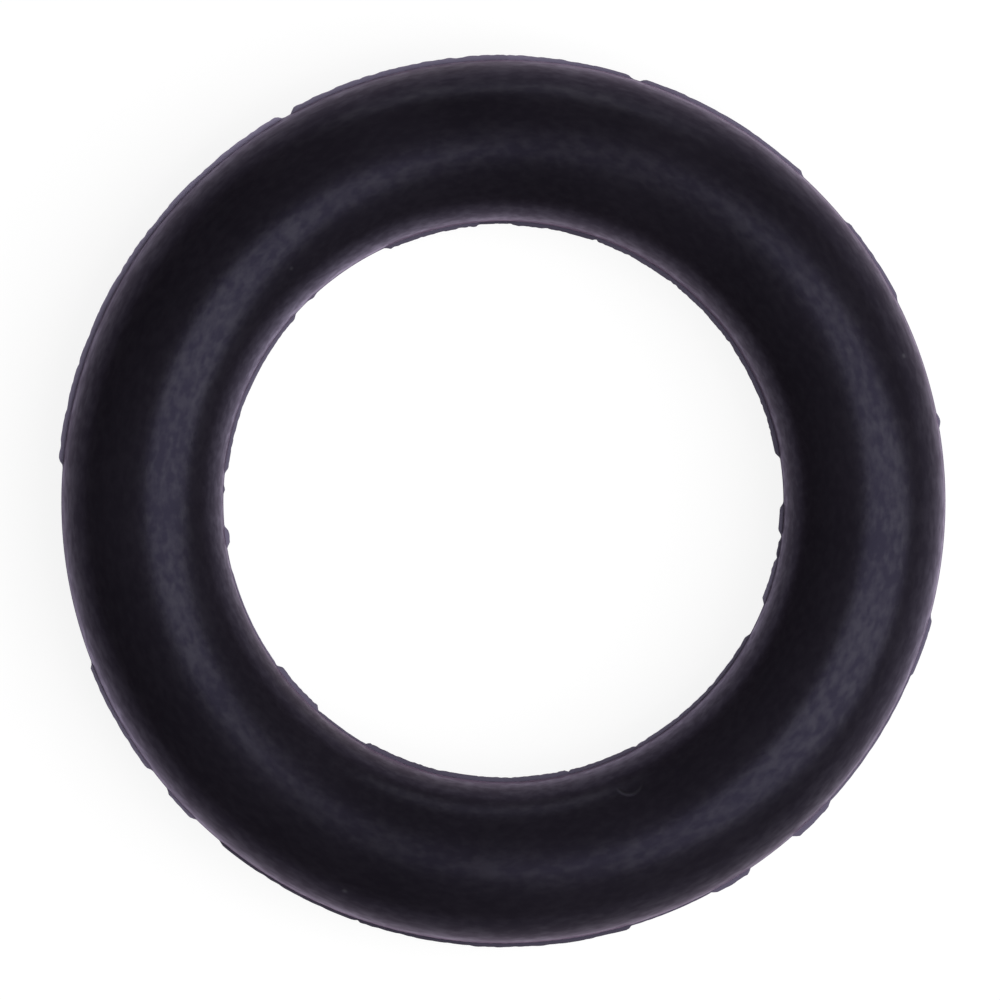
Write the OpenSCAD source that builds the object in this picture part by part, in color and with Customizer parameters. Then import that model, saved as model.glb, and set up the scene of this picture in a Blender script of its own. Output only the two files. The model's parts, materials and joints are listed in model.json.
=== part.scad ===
// Moulded rubber o-ring, lying flat as it comes from its mould.
// The ring's axis is Z and its parting plane is z = 0. The mould's two halves met there, and
// the thin flash that they left stands out of both sides, torn off along part of its length.

/* [Ring] */
// Inside diameter of the ring, without flash
bore_d = 12.29; // [8:0.01:40]
// Diameter of the ring's round section
section_d = 3.53; // [1.5:0.01:6]

/* [Mould flash] */
// Thickness of the flash
flash_t = 0.08; // [0.04:0.01:0.2]
// How far whole flash stands out of the outer side
outer_flash_w = 0.12; // [0.06:0.01:0.3]
// How far whole flash stands into the bore
inner_flash_w = 0.11; // [0.06:0.01:0.3]
// How far the witness line stands out where the flash has come off
witness_w = 0.02; // [0.01:0.005:0.04]
// Length along the edge over which a torn end falls to the witness line
tear_l = 0.15; // [0.05:0.05:0.6]
// Depth of the notches in a torn edge, as a share of the flash's width
notch_share = 0.2; // [0:0.05:0.5]

/* [Hidden] */

$fa = 3;
$fs = 0.1;

section_r = section_d / 2;
bore_r = bore_d / 2;
outer_r = bore_r + section_d;

// Angle between two points of a flash edge
edge_step_a = 1.5;

// Flash left on the outer side, counter-clockwise from +X seen from above:
// each row is where a stretch starts and ends, and the share of the full width at each end.
// Stretches that run on into each other overlap a little, so that no notch is left between them
OUTER_FLASH = [
    [27, 39, 0.4, 0.5],
    [48, 71.5, 0.6, 0.8],
    [73, 91, 0.6, 0.9],
    [89, 118, 1, 1],
    [119.5, 175.5, 1, 1],
    [202, 217, 0.7, 0.7],
    [220.5, 226, 0.6, 0.6],
    [230, 285.5, 0.6, 0.9],
    [298.5, 302.5, 0.8, 0.7],
    [312, 316.5, 1, 1],
    [340.5, 343.5, 0.7, 0.6]
];

// Flash left inside the bore, in the same form
INNER_FLASH = [
    [9, 89, 0.85, 0.75],
    [87, 96, 0.4, 0.4],
    [94, 114.5, 0.7, 0.7],
    [138.5, 173, 0.5, 0.5],
    [186, 190, 0.7, 0.6],
    [215, 228, 0.8, 1],
    [230, 242, 0.3, 0.5],
    [240, 331, 1, 0.7],
    [339, 349.5, 0.8, 0.5],
    [353.5, 359, 0.8, 0.6]
];

// A value that goes evenly from low to high as share goes from 0 to 1
function blend(low, high, share) = low + (high - low) * share;

// How much of the full width one stretch keeps at an angle, falling to 0 at its torn ends
function kept(stretch, angle, tear_a) =
    let (
        start = stretch[0],
        end = stretch[1],
        whole = blend(stretch[2], stretch[3], (angle - start) / (end - start))
    )
    angle <= start || angle >= end ? 0 : whole * min(1, (angle - start) / tear_a, (end - angle) / tear_a);

// A torn edge's height between its notches, from 1 down to 1 - notch_share
function torn(angle) = 1 - notch_share * (2 + sin(23 * angle) + sin(41 * angle + 60)) / 4;

// The free edge of the flash on a side of radius r, where out is 1 outside and -1 in the bore
function flash_edge(r, out, width, stretches) =
    let (tear_a = tear_l / (PI * r) * 180)
    [for (angle = [0 : edge_step_a : 360 - edge_step_a])
        let (
            share = max([for (stretch = stretches) kept(stretch, angle, tear_a)]),
            reach = blend(witness_w, width, share * torn(angle)),
            edge_r = r + out * reach
        )
        edge_r * [cos(angle), sin(angle)]];

module ring_body() {
    rotate_extrude()
        translate([bore_r + section_r, 0])
            circle(r = section_r);
}

module flash() {
    linear_extrude(height = flash_t, center = true)
        difference() {
            polygon(flash_edge(outer_r, 1, outer_flash_w, OUTER_FLASH));
            polygon(flash_edge(bore_r, -1, inner_flash_w, INNER_FLASH));
        }
}

module o_ring() {
    color([0.06, 0.055, 0.07])
        union() {
            ring_body();
            flash();
        }
}

o_ring();
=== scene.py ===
"""Looks of a moulded rubber o-ring, lying flat on a pale floor and seen from straight above."""

import json
import logging
import math
from dataclasses import dataclass
from enum import Enum

import bmesh
import bpy
from mathutils import Matrix, Vector, noise


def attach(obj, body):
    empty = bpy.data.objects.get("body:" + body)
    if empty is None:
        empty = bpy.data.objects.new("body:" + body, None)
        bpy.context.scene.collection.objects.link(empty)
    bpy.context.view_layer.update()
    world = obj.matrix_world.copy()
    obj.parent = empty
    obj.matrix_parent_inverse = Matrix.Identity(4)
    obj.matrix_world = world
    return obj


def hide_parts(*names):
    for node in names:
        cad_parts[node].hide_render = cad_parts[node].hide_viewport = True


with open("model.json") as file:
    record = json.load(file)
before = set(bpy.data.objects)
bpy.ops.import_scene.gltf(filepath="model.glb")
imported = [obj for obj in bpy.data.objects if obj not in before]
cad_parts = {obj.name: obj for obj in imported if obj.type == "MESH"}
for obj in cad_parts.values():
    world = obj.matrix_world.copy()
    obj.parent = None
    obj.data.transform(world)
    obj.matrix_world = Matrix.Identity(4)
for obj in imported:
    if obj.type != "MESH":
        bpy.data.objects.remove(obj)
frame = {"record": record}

LOG = logging.getLogger("o_ring")
MM = 0.001
# The mesh attribute that tells how pale the flash is painted nearest each point: painted light that evens
# out each stretch's light and shade
PAINTED_PALE_ATTRIBUTE = "pale"

Colour = tuple[float, float, float]
Direction = tuple[float, float, float]
Shade = tuple[float, float, float, float] | bpy.types.NodeSocket


def rgba(colour: Colour) -> tuple[float, float, float, float]:
    """Gives a colour its full alpha, as a socket takes it."""
    return (*colour, 1.0)


def level_point(azimuth: float, radius: float) -> Vector:
    """Finds a point in the level plane.

    Args:
        azimuth: The angle from +X, in degrees.
        radius: The distance from the middle.

    Returns:
        The point, with no height.
    """
    turn = math.radians(azimuth)
    return Vector((radius * math.cos(turn), radius * math.sin(turn), 0.0))


class Side(Enum):
    """The side of the ring that a strip of flash stands on, as the way it points from the section."""

    OUTER = 1
    BORE = -1


# Shader maths
class Signal:
    """A shader socket that carries a number, so that node maths reads as an expression."""

    def __init__(self, graph: "NodeGraph", socket: bpy.types.NodeSocket) -> None:
        """Wraps a socket.

        Args:
            graph: The graph that the socket's node is in.
            socket: The output socket with the number.
        """
        self.graph = graph
        self.socket = socket

    def _maths(self, operation: str, *values: "Signal | float") -> "Signal":
        """Adds one Math node.

        Args:
            operation: The node's operation.
            *values: Its inputs in order, as signals or plain numbers.

        Returns:
            The node's result.
        """
        node = self.graph.add("ShaderNodeMath", {"operation": operation}, dict(enumerate(values)))
        return Signal(self.graph, node.outputs[0])

    def __add__(self, other: "Signal | float") -> "Signal":
        """Adds a number."""
        return self._maths("ADD", self, other)

    __radd__ = __add__

    def __sub__(self, other: "Signal | float") -> "Signal":
        """Takes a number away."""
        return self._maths("SUBTRACT", self, other)

    def __rsub__(self, other: float) -> "Signal":
        """Takes this signal away from a number."""
        return self._maths("SUBTRACT", other, self)

    def __mul__(self, other: "Signal | float") -> "Signal":
        """Multiplies by a number."""
        return self._maths("MULTIPLY", self, other)

    __rmul__ = __mul__

    def __truediv__(self, other: "Signal | float") -> "Signal":
        """Divides by a number."""
        return self._maths("DIVIDE", self, other)

    def __rtruediv__(self, other: float) -> "Signal":
        """Divides a number by this signal."""
        return self._maths("DIVIDE", other, self)

    def __abs__(self) -> "Signal":
        """Drops the sign."""
        return self._maths("ABSOLUTE", self)

    def turn_from(self, other: "Signal") -> "Signal":
        """Gives the angle in radians by which a point this far aside and so far up leans over."""
        return self._maths("ARCTAN2", self, other)

    def at_most(self, limit: "Signal | float") -> "Signal":
        """Keeps the lower of this signal and a limit."""
        return self._maths("MINIMUM", self, limit)

    def at_least(self, limit: "Signal | float") -> "Signal":
        """Keeps the higher of this signal and a limit."""
        return self._maths("MAXIMUM", self, limit)

    def within_unit(self) -> "Signal":
        """Keeps the signal between 0 and 1."""
        return self.at_least(0.0).at_most(1.0)


class NodeGraph:
    """A node tree that is filled through one method, with the patterns that this object uses."""

    def __init__(self, tree: bpy.types.NodeTree) -> None:
        """Empties a node tree.

        Args:
            tree: The tree of a material or of the world.
        """
        self.tree = tree
        tree.nodes.clear()

    def add(self, kind: str, settings: dict | None = None, values: dict | None = None) -> bpy.types.Node:
        """Makes one node.

        Args:
            kind: The node's type.
            settings: The node's own settings, set before its sockets.
            values: What goes into its inputs, by name or number: signals, sockets or constants.

        Returns:
            The new node.
        """
        node = self.tree.nodes.new(kind)
        for name, value in (settings or {}).items():
            setattr(node, name, value)
        for key, value in (values or {}).items():
            source = value.socket if isinstance(value, Signal) else value
            if isinstance(source, bpy.types.NodeSocket):
                self.tree.links.new(source, node.inputs[key])
            else:
                node.inputs[key].default_value = source
        return node

    def number(
        self, kind: str, output: str, settings: dict | None = None, values: dict | None = None
    ) -> Signal:
        """Makes one node and reads one of its outputs as a number.

        Args:
            kind: The node's type.
            output: The output's name.
            settings: The node's own settings.
            values: What goes into its inputs.

        Returns:
            The output as a signal.
        """
        return Signal(self, self.add(kind, settings, values).outputs[output])

    def vector(self, operation: str, values: dict) -> bpy.types.NodeSocket:
        """Works on a vector.

        Args:
            operation: The Vector Math operation.
            values: What goes into its inputs.

        Returns:
            The new vector.
        """
        return self.add("ShaderNodeVectorMath", {"operation": operation}, values).outputs[0]

    def place(self) -> bpy.types.NodeSocket:
        """Gives the point on the piece, in millimetres of the ring's own frame."""
        source = self.add("ShaderNodeTexCoord").outputs["Object"]
        return self.vector("SCALE", {0: source, "Scale": 1 / MM})

    def level(self, place: bpy.types.NodeSocket) -> bpy.types.NodeSocket:
        """Drops a point's height."""
        return self.vector("MULTIPLY", {0: place, 1: (1.0, 1.0, 0.0)})

    def distance(self, place: bpy.types.NodeSocket, centre: Vector) -> Signal:
        """Measures how far the surface is from a point.

        Args:
            place: The point on the piece, in millimetres.
            centre: The other point, in millimetres.

        Returns:
            The distance in millimetres.
        """
        return self.number("ShaderNodeVectorMath", "Value", {"operation": "DISTANCE"}, {0: place, 1: centre})

    def from_axis(self, place: bpy.types.NodeSocket) -> Signal:
        """Measures how far the surface is from the ring's axis.

        Args:
            place: The point on the piece, in millimetres.

        Returns:
            The distance in millimetres.
        """
        return self.distance(self.level(place), Vector((0.0, 0.0, 0.0)))

    def noise(self, place: bpy.types.NodeSocket, per_mm: float, detail: float = 2.0) -> Signal:
        """Makes a noise pattern.

        Args:
            place: The point on the piece, in millimetres.
            per_mm: How many grains there are to a millimetre.
            detail: How many finer layers the noise has.

        Returns:
            The noise, which wanders about 0 between -0.5 and 0.5.
        """
        values = {"Vector": place, "Scale": per_mm, "Detail": detail}
        return self.number("ShaderNodeTexNoise", "Fac", {}, values) - 0.5

    def mix(self, share: Signal, first: Shade, second: Shade) -> bpy.types.NodeSocket:
        """Mixes two colours.

        Args:
            share: How much of the second colour shows, from 0 to 1.
            first: A colour with alpha, or a colour socket.
            second: Another one.

        Returns:
            The mixed colour.
        """
        return self.add("ShaderNodeMix", {"data_type": "RGBA"}, {0: share, 6: first, 7: second}).outputs[2]


def new_material(name: str) -> tuple[bpy.types.Material, NodeGraph]:
    """Makes a material with an empty graph.

    Args:
        name: The material's name.

    Returns:
        The material and its graph.
    """
    material = bpy.data.materials.new(name)
    material.use_nodes = True
    return material, NodeGraph(material.node_tree)


def place_in_scene(name: str, data: bpy.types.ID) -> bpy.types.Object:
    """Puts a mesh, lamp or camera in the scene.

    Args:
        name: The object's name.
        data: The mesh, light or camera.

    Returns:
        The new object.
    """
    piece = bpy.data.objects.new(name, data)
    bpy.context.scene.collection.objects.link(piece)
    return piece


# The ring
@dataclass(frozen=True)
class RingSize:
    """The bare ring's sizes in millimetres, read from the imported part."""

    bore_radius: float
    outer_radius: float
    floor: float

    @classmethod
    def from_record(cls, record: dict) -> "RingSize":
        """Reads the sizes from the part's mounts.

        Args:
            record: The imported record.

        Returns:
            The sizes.
        """
        mounts = {mount["name"]: mount for mount in record["mounts"]}
        return cls(
            bore_radius=mounts["rod_seat"]["dims"]["r_mm"],
            outer_radius=mounts["housing_seat"]["dims"]["r_mm"],
            floor=mounts["face_seat"]["pos_m"][2] / MM,
        )

    @property
    def section_radius(self) -> float:
        """The round section's radius."""
        return (self.outer_radius - self.bore_radius) / 2

    @property
    def middle_radius(self) -> float:
        """The radius that the section's centre follows."""
        return (self.outer_radius + self.bore_radius) / 2

    def on_top(self, azimuth: float, radius: float) -> Vector:
        """Finds a point on the upper half of the ring's surface.

        Args:
            azimuth: The angle round the ring's axis, in degrees.
            radius: The distance from the axis.

        Returns:
            The point.
        """
        across = radius - self.middle_radius
        height = math.sqrt(max(self.section_radius**2 - across**2, 0.0))
        return level_point(azimuth, radius) + Vector((0.0, 0.0, height))

    def unrolled(self, graph: NodeGraph, place: bpy.types.NodeSocket, finer: float) -> bpy.types.NodeSocket:
        """Unrolls the ring's skin, so that a pattern on it can be finer across than along.

        Args:
            graph: The rubber's graph.
            place: The point on the ring, in millimetres.
            finer: How many times finer the pattern gets across.

        Returns:
            The point on the unrolled skin, in millimetres.
        """
        away = graph.from_axis(place)
        height = graph.number("ShaderNodeSeparateXYZ", "Z", {}, {0: place})
        across = (away - self.middle_radius).turn_from(height) * (self.section_radius * finer)
        along = graph.vector("SCALE", {0: graph.level(place), "Scale": self.middle_radius / away})
        up = graph.add("ShaderNodeCombineXYZ", {}, {"Z": across}).outputs[0]
        return graph.vector("ADD", {0: along, 1: up})


@dataclass(frozen=True)
class Stretch:
    """A stretch of flash that is left on the ring.

    Angles run counter-clockwise from +X, seen from above, in degrees. first and last are the
    shares of the whole flash's width at the stretch's two ends. pale is how pale the stretch is
    painted beside common torn flash: painted light that evens out the light and shade there.
    """

    start: float
    end: float
    first: float
    last: float
    pale: float = 1.0

    def kept(self, angle: float, tear: float) -> float:
        """Tells how much of the whole width the stretch keeps.

        Args:
            angle: Where along the ring, in degrees.
            tear: The angle over which a torn end falls away, in degrees.

        Returns:
            The share, which is 0 off the stretch.
        """
        if not self.start < angle < self.end:
            return 0.0
        along = (angle - self.start) / (self.end - self.start)
        whole = self.first + (self.last - self.first) * along
        return whole * min(1.0, (angle - self.start) / tear, (self.end - angle) / tear)


@dataclass(frozen=True)
class FlashEdge:
    """The flash on one side of the ring. Lengths are in millimetres.

    Attributes:
        side: The side that it stands on.
        radius: The bare ring's radius there.
        width: How far whole flash stands out.
        stretches: What is left of it.
        witness: How far the witness line stands out where the flash has come off.
        tear: The length over which a torn end falls away.
        notch: The depth of the notches in the torn edge, as a share of the width.
        waves: How many notches each of two waves sets round the ring.
        wave_turn: How far the second wave is turned, in degrees.
        tatter: How strong the fine tatters are beside the waves.
        tatter_scale: How many tatters there are to the ring's radius.
    """

    side: Side
    radius: float
    width: float
    stretches: tuple[Stretch, ...]
    witness: float = 0.012
    tear: float = 0.12
    notch: float = 0.2
    waves: tuple[int, int] = (23, 41)
    wave_turn: float = 60.0
    tatter: float = 5.0
    tatter_scale: float = 60.0

    def torn(self, angle: float) -> float:
        """Gives the torn edge's height between its notches, as a share.

        Args:
            angle: Where along the ring, in degrees.

        Returns:
            A share from 1 down to 1 less the notches' depth.
        """
        turn = math.radians(angle)
        few, many = self.waves
        waves = math.sin(few * turn) + math.sin(many * turn + math.radians(self.wave_turn))
        point = Vector((math.cos(turn), math.sin(turn), self.side.value))
        fine = noise.noise(point * self.tatter_scale)
        # The sum in brackets comes to about 4 in the deepest notches
        return min(1.0, 1 - self.notch * (1 + waves + self.tatter * fine) / 4)

    def reach(self, angle: float) -> tuple[float, float]:
        """Tells how far the flash stands out and how pale it is painted, as painted light.

        Args:
            angle: Where along the ring, in degrees.

        Returns:
            The distance from the bare ring to the flash's free edge, in millimetres, and the
            stretch's painted paleness there, painted light that evens out its light and shade.
        """
        tear = math.degrees(self.tear / self.radius)
        share, pale = max((stretch.kept(angle, tear), stretch.pale) for stretch in self.stretches)
        return self.witness + (self.width - self.witness) * share * self.torn(angle), pale


@dataclass(frozen=True)
class Speck:
    """A faint pale speck on the rubber.

    azimuth is in degrees, the lengths are in millimetres and strength is how much it shows.
    """

    azimuth: float
    radius: float
    size: float = 0.075
    strength: float = 0.55

    def mask(self, graph: NodeGraph, place: bpy.types.NodeSocket, ring: RingSize) -> Signal:
        """Marks the speck.

        Args:
            graph: The rubber's graph.
            place: The point on the ring, in millimetres.
            ring: The ring's sizes.

        Returns:
            A mask that is strongest in the middle of the speck and 0 off it.
        """
        away = graph.distance(place, ring.on_top(self.azimuth, self.radius))
        return (1 - away / self.size).within_unit() * self.strength


@dataclass(frozen=True)
class Nick:
    """A shallow curved nick, an arc of a small level circle.

    azimuth is in degrees. radius is how far from the ring's axis the small circle's centre lies,
    bend is that circle's radius, length is the nick's and width is how broad it is, all in
    millimetres. facing is the way in degrees in which the arc's middle lies from that centre.
    fade is the share of the nick's half length over which each of its ends fades out.
    """

    azimuth: float
    radius: float
    bend: float
    facing: float
    length: float
    width: float
    fade: float = 0.5

    def mask(self, graph: NodeGraph, place: bpy.types.NodeSocket, ring: RingSize) -> Signal:
        """Marks the nick.

        Args:
            graph: The rubber's graph.
            place: The point on the ring, in millimetres.
            ring: The ring's sizes.

        Returns:
            A mask that is 1 along the middle of the nick and 0 off it.
        """
        centre = level_point(self.azimuth, self.radius)
        middle = centre + level_point(self.facing, self.bend)
        turn = math.degrees(math.atan2(middle.y, middle.x))
        off_line = abs(graph.distance(graph.level(place), centre) - self.bend) / self.width
        off_middle = graph.distance(place, ring.on_top(turn, middle.length)) / (self.length / 2)
        return (1 - off_line).within_unit() * ((1 - off_middle) / self.fade).within_unit()


@dataclass(frozen=True)
class RubberFinish:
    """Black moulded rubber: dark, satin, with a fine grain and a bluish sheen.

    Attributes:
        dark: The body colour.
        bloom: The colour where the rubber has bloomed a little.
        bloom_share: How much of the rubber has bloomed on average.
        bloom_spread: How far that share wanders from place to place.
        torn: The colour of torn flash: partly the torn rubber's own paler tone, partly painted light.
        torn_painted_light: Its colour where it faces away from the lit side, painted paler as painted light.
        flash_edge: The width over which the rubber's skin changes into flash, in millimetres.
        speck: The colour of a pale speck.
        nick_share: How much of that colour the nick shows.
        tint: The tint of what the surface mirrors.
        gloss: How much the surface itself mirrors, where 0.5 is plain plastic.
        film: How much of the surface the thin mould film covers on average.
        film_grain: How far that share wanders with the grain.
        film_mottle: How far it wanders with the mottling.
        film_index: The film's refractive index.
        roughness: The surface's roughness.
        torn_roughness: The roughness of torn flash.
        dust: How strong the rubber's dusty sheen is.
        dust_tint: The tint of that sheen.
        dust_roughness: How far that sheen spreads.
        lit_side: The level direction towards the lit side, which sets where the flash's painted light falls.
        grain_scale: How many grains of the fine grain there are to a millimetre.
        grain_stretch: How many times longer the fine grain is along the ring than across it.
        grain_depth: The depth of the fine grain, in millimetres.
        mottle_scale: How many patches of the broader mottling there are to a millimetre.
        mottle_depth: The depth of that mottling, in millimetres.
        bloom_scale: How many patches of bloom there are to a millimetre.
        nick_depth: The depth of the nick, in millimetres.
        speck_height: How far a speck stands out, in millimetres.
    """

    dark: Colour = (0.0064, 0.0054, 0.0080)
    bloom: Colour = (0.0098, 0.0083, 0.0122)
    bloom_share: float = 0.4
    bloom_spread: float = 2.0
    torn: Colour = (0.115, 0.10, 0.148)
    torn_painted_light: Colour = (0.30, 0.265, 0.385)
    flash_edge: float = 0.005
    speck: Colour = (0.06, 0.06, 0.066)
    nick_share: float = 0.16
    tint: Colour = (0.63, 0.59, 1.0)
    gloss: float = 0.1075
    film: float = 0.38
    film_grain: float = 3.2
    film_mottle: float = 1.6
    film_index: float = 1.14
    roughness: float = 0.3
    torn_roughness: float = 0.6
    dust: float = 0.18
    dust_tint: Colour = (1.0, 0.64, 1.0)
    dust_roughness: float = 0.35
    lit_side: Direction = (0.96, -0.29, 0.0)
    grain_scale: float = 3.6
    grain_stretch: float = 1.8
    grain_depth: float = 0.002
    mottle_scale: float = 0.9
    mottle_depth: float = 0.006
    bloom_scale: float = 0.3
    nick_depth: float = 0.012
    speck_height: float = 0.01

    def _torn_flash_painted_light(
        self, graph: NodeGraph, place: bpy.types.NodeSocket, across: Signal, ring: RingSize
    ) -> bpy.types.NodeSocket:
        """Colours the torn flash with painted light, paler where it faces away from the lit side.

        Args:
            graph: The rubber's graph.
            place: The point on the ring, in millimetres.
            across: How far it lies outside the section's centre, in millimetres.
            ring: The ring's sizes.

        Returns:
            The colour.
        """
        # Painted light: flash that faces away from the lit side is painted paler, standing in for the light
        # its own shadow keeps off
        facing = {0: place, 1: self.lit_side}
        toward = graph.number("ShaderNodeVectorMath", "Value", {"operation": "DOT_PRODUCT"}, facing)
        away = (toward * across / (-ring.middle_radius * ring.section_radius)).within_unit()
        torn = graph.mix(away, rgba(self.torn), rgba(self.torn_painted_light))
        # Painted light: each stretch's painted paleness, which evens out its light and shade
        pale = graph.number("ShaderNodeAttribute", "Fac", {"attribute_name": PAINTED_PALE_ATTRIBUTE})
        return graph.vector("SCALE", {0: torn, "Scale": pale})

    def material(self, ring: RingSize, specks: tuple[Speck, ...], nick: Nick) -> bpy.types.Material:
        """Makes the rubber.

        Args:
            ring: The ring's sizes, which put the marks on its surface.
            specks: The pale specks.
            nick: The curved nick.

        Returns:
            The material.
        """
        material, graph = new_material("black_rubber")
        place = graph.place()
        grain = graph.noise(ring.unrolled(graph, place, self.grain_stretch), self.grain_scale)
        mottle = graph.noise(place, self.mottle_scale)
        bloom = graph.noise(place, self.bloom_scale, detail=1.0) * self.bloom_spread
        pale = sum((speck.mask(graph, place, ring) for speck in specks), start=0.0).within_unit()
        cut = nick.mask(graph, place, ring)
        across = graph.from_axis(place) - ring.middle_radius
        flash = ((abs(across) - ring.section_radius) / self.flash_edge).within_unit()

        bloomed = (bloom + grain + self.bloom_share).within_unit()
        body = graph.mix(bloomed, rgba(self.dark), rgba(self.bloom))
        # The torn flash's colour is partly its own paler tone and partly painted light
        body = graph.mix(flash, body, self._torn_flash_painted_light(graph, place, across, ring))
        body = graph.mix((pale + cut * self.nick_share).within_unit(), body, rgba(self.speck))
        film = grain * self.film_grain + mottle * self.film_mottle + self.film
        skin = grain * self.grain_depth + mottle * self.mottle_depth
        height = skin - cut * self.nick_depth + pale * self.speck_height
        bump = graph.add("ShaderNodeBump", {}, {"Strength": 1.0, "Distance": MM, "Height": height})
        shader = graph.add(
            "ShaderNodeBsdfPrincipled",
            {},
            {
                "Base Color": body,
                "Roughness": flash * (self.torn_roughness - self.roughness) + self.roughness,
                "Specular IOR Level": self.gloss,
                "Specular Tint": rgba(self.tint),
                "Coat Weight": film.within_unit() * (1 - flash),
                "Coat IOR": self.film_index,
                "Coat Roughness": self.roughness,
                "Sheen Weight": self.dust,
                "Sheen Tint": rgba(self.dust_tint),
                "Sheen Roughness": self.dust_roughness,
                "Normal": bump.outputs[0],
            },
        )
        graph.add("ShaderNodeOutputMaterial", {}, {"Surface": shader.outputs[0]})
        return material


@dataclass(frozen=True)
class MouldedRing:
    """The ring itself: a round section spun about the axis, with torn flash at its parting line.

    Attributes:
        size: The bare ring's sizes.
        edges: The flash on the outer side and in the bore.
        flash_thickness: How thick the flash is at its root, in millimetres.
        section_points: How many points the round of the section has.
        sectors: How many equal sectors the ring is put together from.
        sector_steps: How many steps the spin of one sector takes.
        seam: How close the sectors' points have to be to be merged, in millimetres.
        crease: The angle in degrees past which an edge stays sharp.
        ripple: How far the flash bends up and down, as a share of how far it stands out.
        ripple_scale: How many ripples there are to a millimetre.
        lip: The flash's own profile, from its upper root to its tip, as shares of how far it
            stands out and of half its thickness.
    """

    size: RingSize
    edges: tuple[FlashEdge, ...]
    flash_thickness: float = 0.08
    section_points: int = 80
    sectors: int = 12
    sector_steps: int = 75
    seam: float = 0.0002
    crease: float = 32.0
    ripple: float = 0.12
    ripple_scale: float = 1.3
    lip: tuple[tuple[float, float], ...] = (
        (0.05, 1.0),
        (0.45, 0.95),
        (0.7, 0.8),
        (0.88, 0.5),
        (0.97, 0.25),
        (1.0, 0.05),
    )

    def build(self) -> bpy.types.Object:
        """Builds the ring.

        Returns:
            The ring as an object at the origin, with its place in its mesh.
        """
        bm = bmesh.new()
        side_layer = bm.verts.layers.int.new("side")
        share_layer = bm.verts.layers.float.new("share")
        painted_pale_layer = bm.verts.layers.float.new(PAINTED_PALE_ATTRIBUTE)
        self._draw_section(bm, side_layer, share_layer)
        self._spin(bm)
        self._tear_flash(bm, side_layer, share_layer, painted_pale_layer)
        bmesh.ops.recalc_face_normals(bm, faces=bm.faces)
        self._shade(bm)
        bmesh.ops.scale(bm, vec=Vector((MM, MM, MM)), verts=bm.verts)
        mesh = bpy.data.meshes.new("rubber_ring")
        bm.to_mesh(mesh)
        bm.free()
        return place_in_scene("rubber_ring", mesh)

    def _draw_section(
        self,
        bm: bmesh.types.BMesh,
        side_layer: bmesh.types.BMLayerItem,
        share_layer: bmesh.types.BMLayerItem,
    ) -> None:
        """Draws the section in the XZ plane: a circle whose two level edges are cut into lips.

        Args:
            bm: The empty mesh.
            side_layer: The layer that takes the side of each lip point.
            share_layer: The layer that takes how far out each lip point lies.
        """
        radius = self.size.section_radius
        half_step = Matrix.Rotation(math.pi / self.section_points, 4, "Z")
        upright = Matrix.Rotation(math.pi / 2, 4, "X") @ half_step
        bmesh.ops.create_circle(bm, segments=self.section_points, radius=radius, matrix=upright)
        half = self.flash_thickness / 2
        root = math.sqrt(radius**2 - half**2)
        profile = [*self.lip, *[(share, -height) for share, height in reversed(self.lip)]]
        for side in Side:
            ends = sorted(bm.verts, key=lambda vert: abs(vert.co.z) - side.value * vert.co.x)[:2]
            for vert in ends:
                vert.co = Vector((side.value * root, 0.0, math.copysign(half, vert.co.z)))
            edge = next(edge for edge in ends[0].link_edges if edge.other_vert(ends[0]) is ends[1])
            cut = bmesh.ops.subdivide_edges(bm, edges=[edge], cuts=len(profile))
            fresh = [item for item in cut["geom_inner"] if isinstance(item, bmesh.types.BMVert)]
            fresh.sort(key=lambda vert: -vert.co.z)
            for vert, (share, height) in zip(fresh, profile):
                vert[side_layer] = side.value
                vert[share_layer] = share
                vert.co.z = half * height
        bmesh.ops.translate(bm, vec=Vector((self.size.middle_radius, 0.0, 0.0)), verts=bm.verts)

    def _spin(self, bm: bmesh.types.BMesh) -> None:
        """Spins one sector of the ring and sets its copies round the axis.

        Args:
            bm: The mesh with the section.
        """
        turn = 2 * math.pi / self.sectors
        middle = Vector((0.0, 0.0, 0.0))
        bmesh.ops.spin(
            bm,
            geom=[*bm.verts, *bm.edges],
            cent=middle,
            axis=Vector((0.0, 0.0, 1.0)),
            angle=turn,
            steps=self.sector_steps,
            use_merge=False,
            use_duplicate=False,
        )
        sector = [*bm.verts, *bm.edges, *bm.faces]
        for index in range(1, self.sectors):
            copy = bmesh.ops.duplicate(bm, geom=sector)["geom"]
            fresh = [item for item in copy if isinstance(item, bmesh.types.BMVert)]
            bmesh.ops.rotate(bm, cent=middle, matrix=Matrix.Rotation(index * turn, 3, "Z"), verts=fresh)
        bmesh.ops.remove_doubles(bm, verts=bm.verts, dist=self.seam)

    def _tear_flash(
        self,
        bm: bmesh.types.BMesh,
        side_layer: bmesh.types.BMLayerItem,
        share_layer: bmesh.types.BMLayerItem,
        painted_pale_layer: bmesh.types.BMLayerItem,
    ) -> None:
        """Draws the lips out to the torn edges of the flash, which waves a little up and down.

        Args:
            bm: The spun ring.
            side_layer: The layer with the side of each lip point.
            share_layer: The layer with how far out each lip point lies.
            painted_pale_layer: The layer that takes how pale the flash is painted nearest each point, as
                painted light.
        """
        edges = {edge.side.value: edge for edge in self.edges}
        for vert in bm.verts:
            level = Vector((vert.co.x, vert.co.y, 0.0))
            angle = math.degrees(math.atan2(level.y, level.x)) % 360
            outside = level.length > self.size.middle_radius
            edge = edges[(Side.OUTER if outside else Side.BORE).value]
            # Painted light: each point takes the paleness painted onto its stretch
            reach, vert[painted_pale_layer] = edge.reach(angle)
            if vert[side_layer] == 0:
                continue
            reach *= vert[share_layer]
            height = vert.co.z + noise.noise(level * self.ripple_scale) * self.ripple * reach
            outward = level.normalized() * (edge.radius + edge.side.value * reach)
            vert.co = outward + Vector((0.0, 0.0, height))

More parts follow.
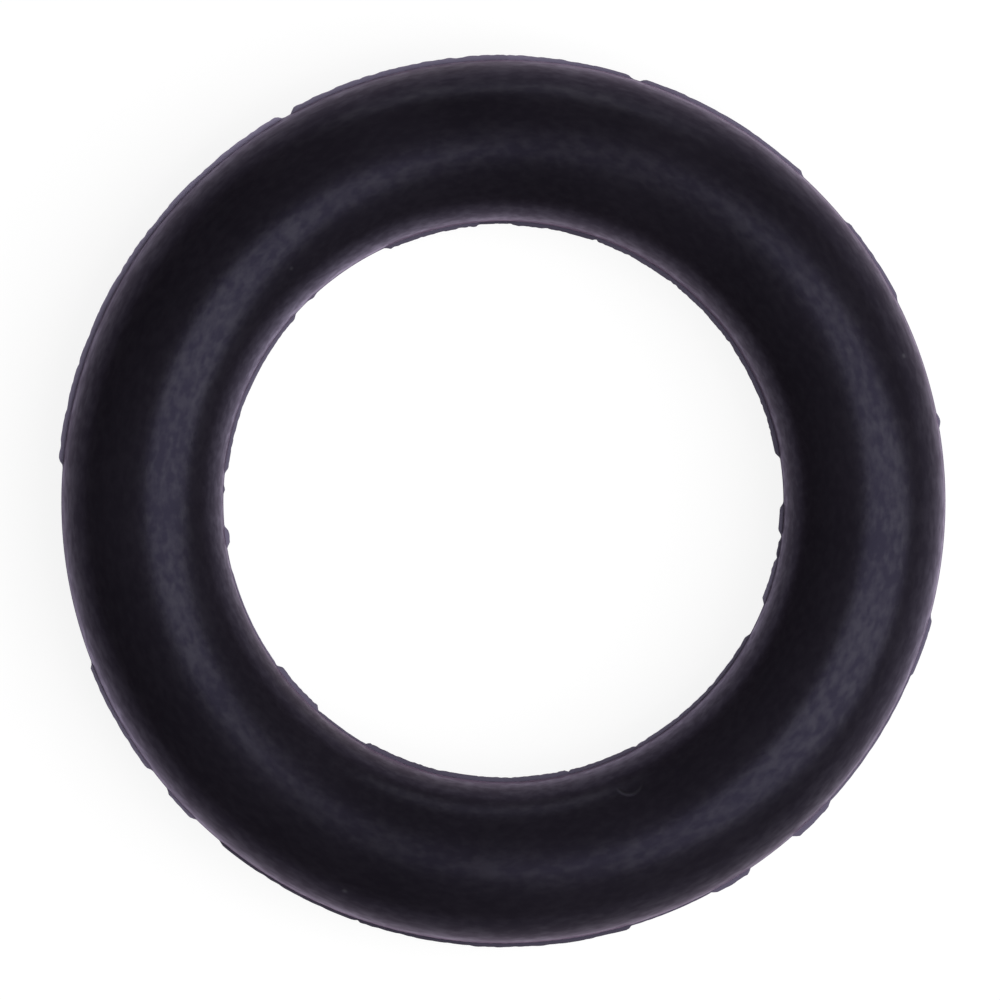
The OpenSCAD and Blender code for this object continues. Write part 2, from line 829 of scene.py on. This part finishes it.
    def _shade(self, bm: bmesh.types.BMesh) -> None:
        """Shades the ring smooth, apart from the corners of its flash.

        Args:
            bm: The finished ring.
        """
        for face in bm.faces:
            face.smooth = True
        limit = math.radians(self.crease)
        for edge in bm.edges:
            edge.smooth = edge.calc_face_angle(0.0) < limit


# The studio
@dataclass(frozen=True)
class Pool:
    """A pool of light or shade on the floor, which only the ring's sides mirror.

    azimuth is in degrees. radius is how far the pool's middle lies from the ring's axis and reach
    is how far the pool spreads, in millimetres. gain is how much brighter its middle is.
    """

    azimuth: float
    radius: float
    reach: float
    gain: float

    def light(self, graph: NodeGraph, place: bpy.types.NodeSocket, level: float) -> Signal:
        """Gives what the pool adds to the floor's brightness.

        Args:
            graph: The floor's graph.
            place: The point on the floor, in millimetres.
            level: The floor's height, in millimetres.

        Returns:
            The share that it adds, which is 0 off the pool.
        """
        middle = level_point(self.azimuth, self.radius) + Vector((0.0, 0.0, level))
        return (1 - graph.distance(place, middle) / self.reach).within_unit() * self.gain


@dataclass(frozen=True)
class PaleFloor:
    """A plain pale floor, white to the camera, on which the ring leaves a soft shadow.

    Attributes:
        pools: The pools of light and shade that its mirror image shows.
        half_width: Half its width, in millimetres.
        colour: Its colour as the ring meets it.
        mirrored: What it adds to that where a glossy or clear surface shows it.
        seen: Its colour as the camera meets it, which makes the ring's shadow faint.
        white: What it adds to that, so that it reads as white.
    """

    pools: tuple[Pool, ...]
    half_width: float = 1500.0
    colour: Colour = (0.28, 0.28, 0.28)
    mirrored: Colour = (0.34, 0.292, 0.445)
    seen: Colour = (0.12, 0.12, 0.12)
    white: Colour = (0.89, 0.89, 0.89)

    def build(self, level: float) -> bpy.types.Object:
        """Builds the floor.

        Args:
            level: The floor's height, in millimetres.

        Returns:
            The floor.
        """
        bm = bmesh.new()
        bmesh.ops.create_grid(bm, x_segments=1, y_segments=1, size=self.half_width * MM)
        bmesh.ops.translate(bm, vec=Vector((0.0, 0.0, level * MM)), verts=bm.verts)
        mesh = bpy.data.meshes.new("pale_floor")
        bm.to_mesh(mesh)
        bm.free()
        floor = place_in_scene("pale_floor", mesh)
        mesh.materials.append(self.material(level))
        return floor

    def material(self, level: float) -> bpy.types.Material:
        """Makes the floor's white.

        Args:
            level: The floor's height, in millimetres.

        Returns:
            The material.
        """
        material, graph = new_material("pale_floor")
        place = graph.place()
        lit = sum((pool.light(graph, place, level) for pool in self.pools), start=1.0)
        camera = graph.number("ShaderNodeLightPath", "Is Camera Ray")
        glossy = graph.number("ShaderNodeLightPath", "Is Glossy Ray")
        through = graph.number("ShaderNodeLightPath", "Is Transmission Ray")
        colour = graph.mix(camera, rgba(self.colour), rgba(self.seen))
        added = graph.mix(camera, rgba(self.mirrored), rgba(self.white))
        matt = graph.add("ShaderNodeBsdfDiffuse", {}, {"Color": colour})
        strength = camera + (glossy + through) * lit
        glow = graph.add("ShaderNodeEmission", {}, {"Color": added, "Strength": strength})
        both = graph.add("ShaderNodeAddShader", {}, {0: matt.outputs[0], 1: glow.outputs[0]})
        graph.add("ShaderNodeOutputMaterial", {}, {"Surface": both.outputs[0]})
        return material


@dataclass(frozen=True)
class Softbox:
    """A softbox, unseen by the camera. Lengths are in millimetres, angles in degrees.

    Attributes:
        name: Its name.
        azimuth: The way it lies from the ring.
        out: How far out its middle is.
        height: How high its middle is.
        length: Its length along the way out, or its height if it is tipped up.
        width: Its width across that.
        radiance: How bright its face is, where 1 is white.
        tip: How far it is tipped up from facing straight down, towards the ring.
    """

    name: str
    azimuth: float
    out: float
    height: float
    length: float
    width: float
    radiance: float
    tip: float = 0.0

    def build(self) -> bpy.types.Object:
        """Hangs the softbox.

        Returns:
            The lamp.
        """
        light = bpy.data.lights.new(self.name, "AREA")
        light.shape = "RECTANGLE"
        light.size = self.length * MM
        light.size_y = self.width * MM
        light.energy = self.radiance * math.pi * light.size * light.size_y
        lamp = place_in_scene(self.name, light)
        around = Matrix.Rotation(math.radians(self.azimuth), 4, "Z")
        outward = Matrix.Translation((self.out * MM, 0.0, self.height * MM))
        lamp.matrix_world = around @ outward @ Matrix.Rotation(math.radians(self.tip), 4, "Y")
        lamp.visible_camera = False
        return lamp


@dataclass(frozen=True)
class DimRoom:
    """The room's own faint light."""

    colour: Colour = (0.14, 0.14, 0.14)

    def build(self) -> None:
        """Fills the world with the room's light."""
        world = bpy.data.worlds.new("dim_room")
        world.use_nodes = True
        graph = NodeGraph(world.node_tree)
        glow = graph.add("ShaderNodeBackground", {}, {"Color": rgba(self.colour)})
        graph.add("ShaderNodeOutputWorld", {}, {"Surface": glow.outputs[0]})
        bpy.context.scene.world = world


@dataclass(frozen=True)
class TopCamera:
    """A camera that looks straight down from far off.

    Attributes:
        span: The width of the picture at the parting plane, in millimetres.
        aside: How far the picture's middle lies from the ring's axis, in millimetres.
        height: The camera's height over the parting plane, in millimetres.
        sensor: The sensor's width, in millimetres.
    """

    span: float = 21.91
    aside: tuple[float, float] = (-0.0745, 0.035)
    height: float = 300.0
    sensor: float = 36.0

    def build(self) -> bpy.types.Object:
        """Sets up the camera.

        Returns:
            The scene's camera.
        """
        data = bpy.data.cameras.new("top_camera")
        data.sensor_width = self.sensor
        data.lens = self.sensor * self.height / self.span
        data.clip_start = self.height * MM / 10
        data.clip_end = self.height * MM * 10
        camera = place_in_scene("top_camera", data)
        camera.location = (self.aside[0] * MM, self.aside[1] * MM, self.height * MM)
        bpy.context.scene.camera = camera
        return camera


# What this ring and its studio have
# The pale values are painted light: each stretch of flash is painted paler or darker to even out its light
# and shade
OUTER_STRETCHES = (
    Stretch(9.6, 11.6, 0.5, 0.4),
    Stretch(27, 39.3, 0.5, 0.52, pale=0.9),
    Stretch(47.3, 72, 0.6, 0.8),
    Stretch(73, 90, 0.55, 1),
    Stretch(89, 118.8, 1, 1, pale=0.85),
    Stretch(119.9, 175.3, 1, 1, pale=1.2),
    Stretch(201.4, 217.4, 0.76, 0.68),
    Stretch(220.5, 226, 0.6, 0.6),
    Stretch(230, 251, 0.44, 0.52, pale=0.36),
    Stretch(250.5, 266, 0.58, 0.62, pale=0.36),
    Stretch(265, 287, 0.76, 0.76, pale=0.42),
    Stretch(286.5, 298.5, 0.22, 0.18, pale=0.6),
    Stretch(298, 304, 0.85, 0.85, pale=0.7),
    Stretch(310.8, 317.6, 1, 0.95, pale=0.8),
    Stretch(317, 337, 0.32, 0.23, pale=0.8),
    Stretch(336.5, 345, 0.46, 0.66, pale=0.8),
)

# Here too pale is painted light that evens out each stretch's light and shade
BORE_STRETCHES = (
    Stretch(9, 71, 0.96, 0.96, pale=0.55),
    Stretch(70, 88.9, 0.92, 0.92, pale=0.46),
    Stretch(87, 96, 0.5, 0.46, pale=0.35),
    Stretch(94.5, 115.2, 0.85, 0.78, pale=0.55),
    Stretch(131.8, 134.2, 0.4, 0.35, pale=0.8),
    Stretch(137.8, 174.2, 0.64, 0.68, pale=0.75),
    Stretch(176.6, 178.4, 0.5, 0.4, pale=0.8),
    Stretch(185, 189.5, 0.95, 0.85),
    Stretch(194, 216, 0.15, 0.25),
    Stretch(215.8, 228.7, 0.95, 1, pale=0.8),
    Stretch(228, 242, 0.4, 0.36, pale=0.7),
    Stretch(240, 284, 1, 1, pale=0.6),
    Stretch(283, 299, 0.92, 0.76, pale=0.57),
    Stretch(298, 331.8, 0.75, 0.66, pale=0.75),
    Stretch(338.5, 348.5, 0.85, 0.75, pale=1.1),
    Stretch(348, 352.7, 0.55, 0.5, pale=0.8),
    Stretch(353, 359.8, 0.85, 0.78, pale=0.8),
)

POOLS = (
    Pool(azimuth=140, radius=3.7, reach=4.8, gain=1.4),
    Pool(azimuth=232, radius=4.0, reach=3.2, gain=-0.8),
    Pool(azimuth=315, radius=4.2, reach=2.5, gain=0.5),
    Pool(azimuth=97, radius=11.5, reach=4.5, gain=-0.55),
    Pool(azimuth=92, radius=20.0, reach=9.0, gain=0.4),
    Pool(azimuth=210, radius=11.5, reach=4.5, gain=0.8),
    Pool(azimuth=285, radius=19.0, reach=12.0, gain=-0.4),
    Pool(azimuth=345, radius=12.5, reach=6.0, gain=0.9),
    Pool(azimuth=300, radius=50.0, reach=45.0, gain=-0.7),
)

SPECKS = (
    Speck(azimuth=20.0, radius=9.3),
    Speck(azimuth=247.8, radius=9.17),
    Speck(azimuth=132.3, radius=6.87, size=0.06, strength=0.25),
)

NICK = Nick(azimuth=-65.7, radius=6.66, bend=0.31, facing=-82, length=0.78, width=0.05)

RUBBER = RubberFinish()
FLOOR = PaleFloor(POOLS)
SOFTBOXES = (
    Softbox("overhead_softbox", azimuth=-15, out=230, height=180, length=340, width=222, radiance=5.1),
    Softbox("near_softbox", azimuth=-17, out=38, height=180, length=44, width=124, radiance=5.1),
    Softbox("back_strip", azimuth=88, out=500, height=70, length=140, width=460, radiance=2.3, tip=90),
)
ROOM = DimRoom()
CAMERA = TopCamera()


# The finished scene
def dress_ring(size: RingSize) -> bpy.types.Object:
    """Builds the ring in its rubber and lets it stand for the plain solid.

    Args:
        size: The bare ring's sizes.

    Returns:
        The finished ring.
    """
    edges = (
        FlashEdge(Side.OUTER, radius=size.outer_radius, width=0.12, stretches=OUTER_STRETCHES),
        FlashEdge(Side.BORE, radius=size.bore_radius, width=0.11, stretches=BORE_STRETCHES),
    )
    ring = MouldedRing(size=size, edges=edges).build()
    ring.data.materials.append(RUBBER.material(size, SPECKS, NICK))
    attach(ring, "root")
    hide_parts("o_ring")
    return ring


def main() -> None:
    """Builds the studio and the ring in it."""
    logging.basicConfig(level=logging.INFO, format="%(name)s: %(message)s")
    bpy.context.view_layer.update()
    bpy.context.scene.view_settings.view_transform = "Standard"
    size = RingSize.from_record(frame["record"])
    CAMERA.build()
    ROOM.build()
    for softbox in SOFTBOXES:
        LOG.info("%s hangs", softbox.build().name)
    LOG.info("%s lies under the ring", FLOOR.build(size.floor).name)
    ring = dress_ring(size)
    LOG.info("%s: %d faces", ring.name, len(ring.data.polygons))


if __name__ == "__main__":
    main()
